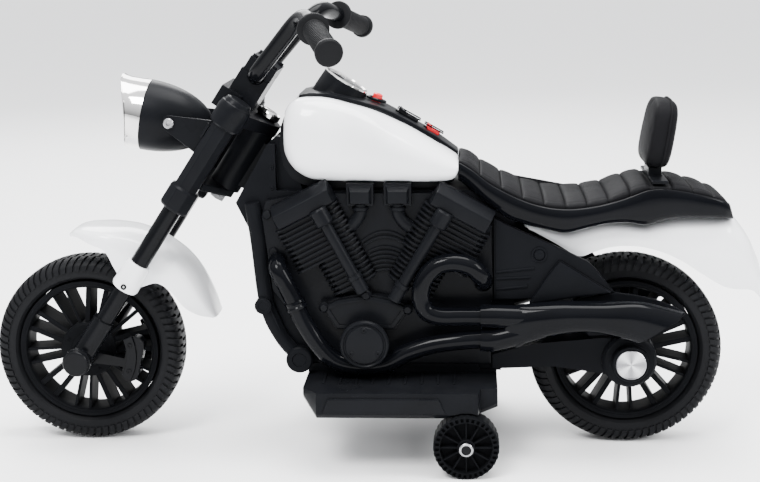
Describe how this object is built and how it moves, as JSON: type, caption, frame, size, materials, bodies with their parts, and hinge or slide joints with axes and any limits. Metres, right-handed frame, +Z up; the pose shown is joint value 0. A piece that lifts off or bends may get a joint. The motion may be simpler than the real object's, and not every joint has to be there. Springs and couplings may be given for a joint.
{
  "type": "kids ride-on motorcycle",
  "caption": "Battery ride-on chopper for a small child: raked fork, tall bars, teardrop tank, rolled seat with backrest, V-twin style covers, training wheels.",
  "frame": {"origin": "on the floor below the middle of the overall box", "axes": "+Z up; the front wheel points to -X; the rider's left is -Y, which is the side that the picture shows"},
  "size_m": [0.906, 0.47, 0.516],
  "materials": {
    "black_plastic": "fine satin texture",
    "gloss_black_plastic": "high gloss",
    "white_plastic": "high gloss",
    "black_painted_metal": "gloss paint",
    "rubber": "matt, ribbed",
    "tyre": "matt",
    "leatherette": "soft grain with a low sheen",
    "red_plastic": "gloss",
    "chrome_trim": "mirror bright",
    "brushed_metal": "brushed in rings",
    "plated_steel": "zinc plated",
    "lens": "clear, fluted",
    "dial_face": "printed ring under a clear disc",
    "battery_case": "matt"
  },
  "bodies": {
    "frame": {"body_left": "black_plastic", "body_right": "black_plastic", "steering_head": "black_plastic", "tank_core": "black_plastic", "tank_cover_left": "white_plastic", "tank_cover_right": "white_plastic", "console": "black_plastic", "speed_dial": "dial_face", "battery": "battery_case", "gearbox": "battery_case", "drive_motor": "plated_steel", "seat_base": "gloss_black_plastic", "seat_pad": "leatherette", "backrest_bracket": "black_plastic", "backrest_pad": "leatherette", "rear_fender": "white_plastic", "engine_cover_left": "black_plastic", "engine_cover_right": "black_plastic", "timing_cover_left": "black_plastic", "timing_cover_right": "black_plastic", "exhaust_left": "gloss_black_plastic", "exhaust_right": "gloss_black_plastic", "footboard_left": "black_plastic", "footboard_right": "black_plastic", "rear_axle": "plated_steel", "hub_cap_left": "brushed_metal", "hub_cap_right": "brushed_metal", "training_wheel_bracket": "plated_steel"},
    "steering": {"steering_stem": "plated_steel", "stem_nut": "chrome_trim", "lower_fork_yoke": "black_plastic", "upper_fork_yoke": "black_plastic", "steering_cap": "black_plastic", "handlebar_clamp_cap": "black_plastic", "handlebar": "black_painted_metal", "grip_left": "rubber", "grip_right": "rubber", "fork_sleeve_left": "black_plastic", "fork_sleeve_right": "black_plastic", "fork_leg_left": "black_painted_metal", "fork_leg_right": "black_painted_metal", "front_fender": "white_plastic", "front_axle": "plated_steel", "headlight_bracket": "black_plastic"},
    "headlight": {"headlight_shell": "black_plastic", "headlight_bezel": "chrome_trim", "headlight_lens": "lens", "headlight_reflector": "chrome_trim", "headlight_bolt_left": "plated_steel", "headlight_bolt_right": "plated_steel"},
    "front_wheel": {"front_tyre": "tyre", "front_rim": "black_plastic"},
    "rear_wheel": {"rear_tyre": "tyre", "rear_rim": "black_plastic"},
    "training_wheel_left": {"training_wheel_left": "black_plastic"},
    "training_wheel_right": {"training_wheel_right": "black_plastic"},
    "horn_button": {"horn_button": "red_plastic"},
    "direction_switch": {"direction_switch": "black_plastic"},
    "power_switch": {"power_switch": "red_plastic"},
    "throttle_pedal": {"throttle_pedal": "black_plastic"}
  },
  "joints": [
    {"name": "steering", "type": "hinge", "parent": "frame", "child": "steering", "pos_m": [-0.31432, 0, 0.09434], "axis": [0.5519, 0, 0.8339], "range_deg": [-30, 30]},
    {"name": "front_wheel_spin", "type": "hinge", "parent": "steering", "child": "front_wheel", "pos_m": [-0.341, 0, 0.112], "axis": [0, 1, 0], "continuous": true},
    {"name": "rear_wheel_spin", "type": "hinge", "parent": "frame", "child": "rear_wheel", "pos_m": [0.296, 0, 0.112], "axis": [0, 1, 0], "continuous": true},
    {"name": "training_wheel_left_spin", "type": "hinge", "parent": "frame", "child": "training_wheel_left", "pos_m": [0.11, -0.1365, 0.0365], "axis": [0, 1, 0], "continuous": true},
    {"name": "training_wheel_right_spin", "type": "hinge", "parent": "frame", "child": "training_wheel_right", "pos_m": [0.11, 0.1365, 0.0365], "axis": [0, 1, 0], "continuous": true},
    {"name": "headlight_tilt", "type": "hinge", "parent": "steering", "child": "headlight", "pos_m": [-0.22542, 0, 0.38663], "axis": [0, 1, 0], "range_deg": [-8, 8]},
    {"name": "horn_button_press", "type": "slide", "parent": "frame", "child": "horn_button", "axis": [-0.3251, 0, -0.9457], "range_m": [0, 0.002], "stiffness_N_per_m": 400, "springref_m": -0.0015},
    {"name": "direction_switch_rock", "type": "hinge", "parent": "frame", "child": "direction_switch", "pos_m": [0.04003, 0, 0.38274], "axis": [0, 1, 0], "range_deg": [-16, 0]},
    {"name": "power_switch_rock", "type": "hinge", "parent": "frame", "child": "power_switch", "pos_m": [0.06849, 0, 0.36624], "axis": [0, 1, 0], "range_deg": [-16, 0]},
    {"name": "throttle_pedal_press", "type": "hinge", "parent": "frame", "child": "throttle_pedal", "pos_m": [0.03, 0.1235, 0.1008], "axis": [0, -1, 0], "range_deg": [0, 8], "stiffness_Nm_per_rad": 1.2, "springref_deg": -3.44}
  ]
}
